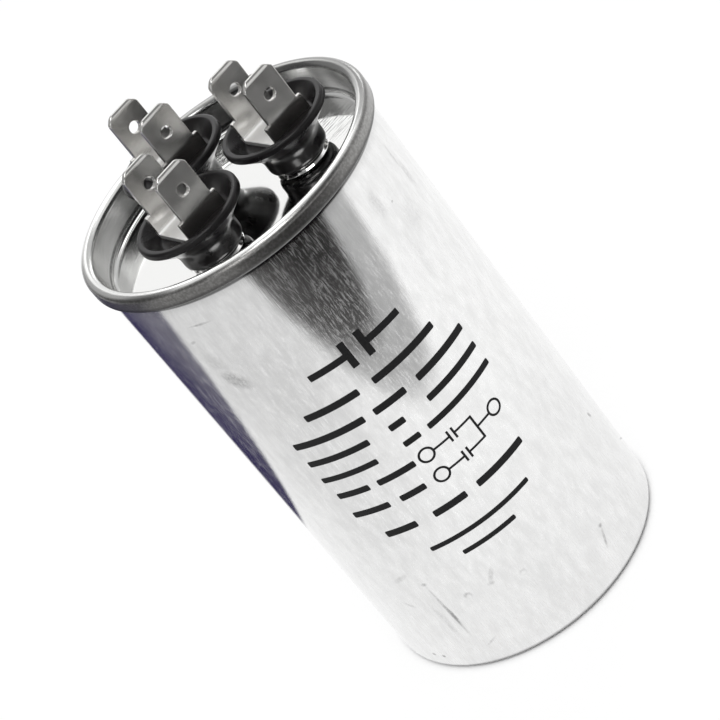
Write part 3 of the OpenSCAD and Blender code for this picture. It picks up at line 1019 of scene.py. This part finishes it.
# Layers of tone and of painted shade, each over the ones before it
layers = [
    (crown, (0.74, 0.74, 0.73)),
    # Painted shade on one side of the crown
    (crown * back_side * 0.9, (0.26, 0.26, 0.255)),
    (panel, (0.90, 0.90, 0.89)),
    (scratches * 0.9, (0.30, 0.30, 0.295)),
    (rolled * (0.71 + 0.12 * mottle + 0.26 * dirt_and_shade), (0.30, 0.297, 0.29)),
    # Painted shade on the front of the rolled side, broken up by noise
    (rolled * front_band * (0.66 + 0.28 * dirt_and_shade), (0.16, 0.157, 0.152)),
    (under_edge * 0.75, (0.06, 0.06, 0.06)),
    # Painted shade on the lower turn of the rim is the layer above; this one is painted shade in the
    # groove, broken up by dirt
    (groove, (0.05, 0.05, 0.05)),
]
for share, colour in layers:
    sheet = bright.blend(share, sheet, colour)
satin = (0.14 + 0.10 * mottle) * (1 - panel)
mirror = (0.03 + 0.05 * mottle + 0.2 * scratches) * panel
bright.surface(
    Base_Color=sheet,
    Metallic=1.0,
    Roughness=satin + mirror + 0.12 * rolled,
    Normal=bright.bump(fine * (1 - 0.95 * panel), 1.4e-5),
)
give(bright, lid)

# %% [markdown]
# ## Black plastic, tin and fibre
#
# The cups are black with a soft gloss, and their necks are glossier. The tabs are tinned strip, duller
# than the lid, with blotches from the tin bath. Their floor plates are painted brighter, a painted
# highlight for the light from above, and below the shoulders their outer sides get painted shade from
# the bowl below them. Each zone could be a material of its own, but limits in height and distance give
# it a soft edge. The washers under the lid are pressed fibre, and can't be seen from outside.

# %% Finish of the cups
plastic, spot = new_finish("black_plastic")
z = plastic.split(spot)[2]
NECK_END = (0.0888, 0.0902)
grain = plastic.noise(spot, 3500, 3.0)
bloom = plastic.noise(spot, 300, 3.0)
plastic.surface(
    Base_Color=plastic.blend(bloom, (0.004, 0.0036, 0.004), (0.009, 0.008, 0.0085)),
    Roughness=0.22 + 0.14 * bloom,
    Specular_IOR_Level=0.22,
    Coat_Weight=plastic.ease(z, *NECK_END, 0.6, 0),
    Coat_Roughness=0.2,
    Normal=plastic.bump(grain, 6e-6),
)
give(plastic, *cups)

# %% Finish of the tabs and rivets
tin, spot = new_finish("tinned_strip")
_, y, z = tin.split(spot)
# Limits in metres: the top of the floor plate, the top of the painted shade, how far the outer sides lie
# from a tab's middle, and a line between the front tabs and the rear one
PLATE_TOP, SIDE_SHADE_TOP, OUTER_SIDE, BETWEEN = (0.0913, 0.0920), (0.0944, 0.0950), (0.00495, 0.00512), 0.003
blotch = tin.noise(spot, 500, 4.0)
brush = tin.noise(spot, 6000, 3.0, (1, 1, 0.06))
floor_plate = tin.ease(z, *PLATE_TOP, 1, 0)
tin_tone = tin.blend(blotch, (0.54, 0.534, 0.52), (0.68, 0.672, 0.655))
front_y, rear_y = CENTRES["front_left"][1] * MM, CENTRES["rear"][1] * MM
middle_y = front_y + (rear_y - front_y) * y.math("GREATER_THAN", y, BETWEEN)
outside = tin.ease(abs(y - middle_y), *OUTER_SIDE)
# Painted shade: below the shoulders the outer sides of the blades are darkened.
painted_side_shade = outside * tin.ease(z + 0.0003 * blotch, *SIDE_SHADE_TOP, 1, 0)
tin_tone = tin.blend(painted_side_shade * 0.9, tin_tone, (0.15, 0.141, 0.135))
# Painted highlight: the floor plates are lighter, for the light that falls on them from above.
tin.surface(
    Base_Color=tin.blend(floor_plate * (1 - outside), tin_tone, (0.90, 0.895, 0.885)),
    Metallic=0.90 + 0.07 * blotch,
    Roughness=0.15 + 0.12 * blotch + 0.30 * floor_plate,
    Normal=tin.bump(brush, 6e-6),
)
give(tin, *tabs, *rivets)

# %% Finish of the washers
fibre, spot = new_finish("pressed_fibre")
pulp = fibre.noise(spot, 1800, 4.0, (1, 1, 2))
fibre.surface(
    Base_Color=fibre.blend(pulp, (0.24, 0.14, 0.08), (0.42, 0.27, 0.16)),
    Roughness=0.8,
    Normal=fibre.bump(pulp, 2e-5),
)
give(fibre, *(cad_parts[f"washer_{name}"] for name in PLACES))

# %% Finish of the print
black_ink, spot = new_finish("black_ink")
pores = black_ink.noise(spot, 3000, 3.0)
black_ink.surface(
    Base_Color=black_ink.blend(pores, (0.004, 0.004, 0.0045), (0.012, 0.012, 0.0125)),
    Roughness=0.42 + 0.1 * pores,
    Specular_IOR_Level=0.15,
    Normal=black_ink.bump(pores, 4e-6),
)
give(black_ink, ink)

# %% [markdown]
# ## Floor, light and flags
#
# The floor is white to the camera and in reflections, and still takes the shadow of the part. Metal
# shows its surroundings, so dark cards lie around it, as flags do in a studio, and a grey hood hangs
# over it. A picture of a room could do this too, but cards are easier to move. Reflections see them, and
# the camera and the shadows don't.


# %% Floor
def stage_mesh(name, points, faces):
    """A mesh object for the floor, a flag or the hood."""
    mesh = bpy.data.meshes.new(name)
    mesh.from_pydata(points, [], faces)
    obj = add_object(name, mesh)
    return obj


def flat_sheet(name, low, high, z):
    """A flat rectangle at a height."""
    (x0, y0), (x1, y1) = low, high
    return stage_mesh(name, [(x0, y0, z), (x1, y0, z), (x1, y1, z), (x0, y1, z)], [(0, 1, 2, 3)])


def shown_ray(finish):
    """1 for rays that show a background: camera, glossy and transmission rays."""
    path = finish.node("ShaderNodeLightPath").output.node.outputs
    kinds = ("Camera", "Glossy", "Transmission")
    camera, glossy, passing = (Term(path[f"Is {kind} Ray"]) for kind in kinds)
    return camera.most(glossy).most(passing)


FLOOR_HALF, FLOOR_GLOW, UNDER_PART = 4.0, 0.88, (0.0240, 0.0262)
floor = flat_sheet("floor", (-FLOOR_HALF, -FLOOR_HALF), (FLOOR_HALF, FLOOR_HALF), 0)
white, spot = new_finish("white_floor")
x, y, _ = white.split(spot)
covered = white.ease(reach(x, y), *UNDER_PART, 1, 0)
lit = white.node("ShaderNodeBsdfDiffuse", sockets={"Color": (0.95, 0.95, 0.95, 1)})
glow = white.node("ShaderNodeEmission", sockets={"Color": (1, 1, 1, 1), "Strength": 1.0})
share = shown_ray(white) * FLOOR_GLOW * (1 - covered)
white.node("ShaderNodeOutputMaterial", sockets={"Surface": white.mix(share, lit, glow)})
give(white, floor)

# %% World
world = Finish(bpy.data.worlds.new("white_room"))
bpy.context.scene.world = world.owner
room = world.node("ShaderNodeBackground", sockets={"Color": (1, 1, 1, 1), "Strength": 0.70})
shown = world.node("ShaderNodeBackground", sockets={"Color": (1, 1, 1, 1), "Strength": 1.0})
world.node("ShaderNodeOutputWorld", sockets={"Surface": world.mix(shown_ray(world), room, shown)})
print(f"{world.owner.name}: {len(world.tree.nodes)} nodes")


# %% Flags
def flag(obj, finish, shade, cover):
    """Gives a card a shade where cover is 1, and leaves it clear where it is 0, for reflections only."""
    dark = finish.node("ShaderNodeEmission", sockets={"Color": shade, "Strength": 1.0})
    clear = finish.node("ShaderNodeBsdfTransparent")
    finish.node("ShaderNodeOutputMaterial", sockets={"Surface": finish.mix(cover, clear, dark)})
    for ray in ("camera", "diffuse", "transmission", "volume_scatter", "shadow"):
        setattr(obj, f"visible_{ray}", False)
    give(finish, obj)


def disc(finish, place, centre, radius, soft):
    """1 inside a circle on the floor and 0 outside, with a soft edge."""
    away = reach(place[0] - centre[0], place[1] - centre[1])
    return finish.ease(away, radius - soft, radius + soft, 1, 0)


# %% Front flag
# Circles as (centre, radius, softness) in metres. They were found by following the edges of the dark
# reflection on the can back to the floor.
CIRCLES = [
    ((-0.085, -0.307), 0.186, 0.006),
    ((0.07, -0.25), 0.10, 0.03),
    ((0, 0), 0.204, 0.008),
    ((-0.041, -0.388), 0.2825, 0.008),
]
# Distances in y at which the dark core gets lighter, and at which it ends
LIGHTER, CORE_END = (-0.20, -0.12), (-0.10, -0.06)
front, spot = new_finish("front_flag")
place = front.split(spot)
core, beyond, near_can, halo = (disc(front, place, *circle) for circle in CIRCLES)
core = core.most(beyond * (1 - near_can))
depth = front.ease(place[1], *LIGHTER)
shade = front.blend(depth, (0.012, 0.011, 0.011), (0.10, 0.098, 0.097))
shade = front.blend(1 - core, shade, (0.48, 0.48, 0.48))
front_cover = halo.most(core * front.ease(place[1], *CORE_END, 1, 0))
front_card = flat_sheet("front_flag", (-0.45, -0.65), (0.45, -0.05), 0.001)
flag(front_card, front, shade, front_cover)

# %% Left flag
# Limits in metres: the dark part's right end, its slanted front edge and its fade, and the pale part's end
DARK_END, DARK_FRONT, DARK_FADE, PALE_END = (-0.026, -0.012), (0.049, 0.055), (-0.15, -0.03), (-0.13, -0.02)
left, spot = new_finish("left_flag")
place = left.split(spot)
beside = left.ease(place[0], *DARK_END, 1, 0)
dark = beside * left.ease(place[1] + 0.24 * place[0], *DARK_FRONT)
shade = left.blend(left.ease(place[0], *DARK_FADE), (0.17, 0.165, 0.205), (0.036, 0.029, 0.088))
shade = left.blend(1 - dark, shade, (0.72, 0.72, 0.72))
left_cover = dark.most(left.ease(place[0], *PALE_END, 1, 0))
left_card = flat_sheet("left_flag", (-0.60, -0.40), (0.0, 0.40), 0.0005)
flag(left_card, left, shade, left_cover)

# %% Hood
HOOD_R, HOOD_FACING = 0.9, math.radians(-110)
hood_turn = np.radians(np.linspace(-200, 160, 73))
hood_rise = np.radians(np.linspace(-4, 90, 20))
turn_grid, rise_grid = np.meshgrid(hood_turn, hood_rise)
hood_points = HOOD_R * np.stack(
    [np.cos(rise_grid) * np.cos(turn_grid), np.cos(rise_grid) * np.sin(turn_grid), np.sin(rise_grid)], -1
)
hood_faces = cells(np.arange(turn_grid.size).reshape(turn_grid.shape)).reshape(-1, 4)
hood = stage_mesh("hood", hood_points.reshape(-1, 3).tolist(), hood_faces.tolist())
cloth, spot = new_finish("grey_hood")
x, y, z = cloth.split(spot)
# Limits as shares of the hood's radius: its lower edge, its fade towards the front, and its rear edge
LOW_EDGE, HOOD_FADE, REAR_EDGE = (0.22, 0.36), (0.0, 0.9), (0.02, 0.32)
towards = (x * math.cos(HOOD_FACING) + y * math.sin(HOOD_FACING)) / HOOD_R
low_edge = cloth.ease(z / HOOD_R, *LOW_EDGE)
shade = cloth.blend(cloth.ease(towards, *HOOD_FADE), (0.30, 0.30, 0.30), (0.14, 0.14, 0.14))
# Shaded patches as (direction and height in degrees, cosines where it starts and where it is full, shade)
PATCHES = [
    (125, 20, 0.75, 0.82, 0.17),
    (102, 26, 0.93, 0.965, 0.45),
    (2, 8, 0.865, 0.93, 0.50),
    (38, 34, 0.95, 0.97, 0.55),
]
cover = cloth.ease(towards, *REAR_EDGE) * low_edge
for direction, height, start, full, grey in PATCHES:
    c, s = math.cos(math.radians(height)), math.sin(math.radians(height))
    east, north = c * along(math.radians(direction))
    patch = cloth.ease((x * east + y * north + z * s) / HOOD_R, start, full)
    shade = cloth.blend(patch, shade, (grey, grey, grey))
    cover = cover.most(patch)
flag(hood, cloth, shade, cover)


# %% Lamps
LAMP_TARGET = Vector((0, 0, 0.06))


def softbox(name, place, size, power):
    """A round soft lamp that points at the middle of the part."""
    light = bpy.data.lights.new(name, "AREA")
    light.shape, light.size, light.energy = "DISK", size, power
    obj = add_object(name, light)
    obj.location = place
    obj.rotation_euler = (LAMP_TARGET - Vector(place)).to_track_quat("-Z", "Y").to_euler()
    print(f"{name}: {size} m across, {power} W")


softbox("back_light", (0.40, 0.60, 0.95), 1.0, 2.6)
softbox("front_light", (-0.47, -0.44, 0.40), 0.25, 0.9)
softbox("side_light", (0.90, 0.72, 0.50), 0.5, 2.0)
softbox("top_light", (-0.14, -0.39, 0.72), 0.36, 2.2)

# %% [markdown]
# ## Camera
#
# The camera stands where the photograph was taken from. Its place was found by fitting the can's
# outline, the rim and the tabs. It looks down at about thirty degrees and is rolled, so the can leans in
# the frame.

# %% Camera
CAMERA_PLACE = (-0.12406, -0.32991, 0.25616)
CAMERA_TURN, CAMERA_RISE, CAMERA_ROLL = (math.radians(a) for a in (20.438, 30.445, -38.843))
level_back = np.array([-math.sin(CAMERA_TURN), -math.cos(CAMERA_TURN), 0])
back = math.cos(CAMERA_RISE) * level_back + np.array([0, 0, math.sin(CAMERA_RISE)])
level = np.array([math.cos(CAMERA_TURN), -math.sin(CAMERA_TURN), 0])
rise = np.cross(back, level)
right = math.cos(CAMERA_ROLL) * level + math.sin(CAMERA_ROLL) * rise
up = -math.sin(CAMERA_ROLL) * level + math.cos(CAMERA_ROLL) * rise
lens = bpy.data.cameras.new("camera")
lens.sensor_width, lens.lens = 36.0, 128.25
camera_object = add_object("camera", lens)
facing = Matrix(np.column_stack([right, up, back]).tolist()).to_4x4()
camera_object.matrix_world = Matrix.Translation(CAMERA_PLACE) @ facing
bpy.context.scene.camera = camera_object
bpy.context.scene.view_settings.view_transform = "Standard"
print(f"the camera is {np.linalg.norm(CAMERA_PLACE):.3f} m from the base, with a {lens.lens:.1f} mm lens")
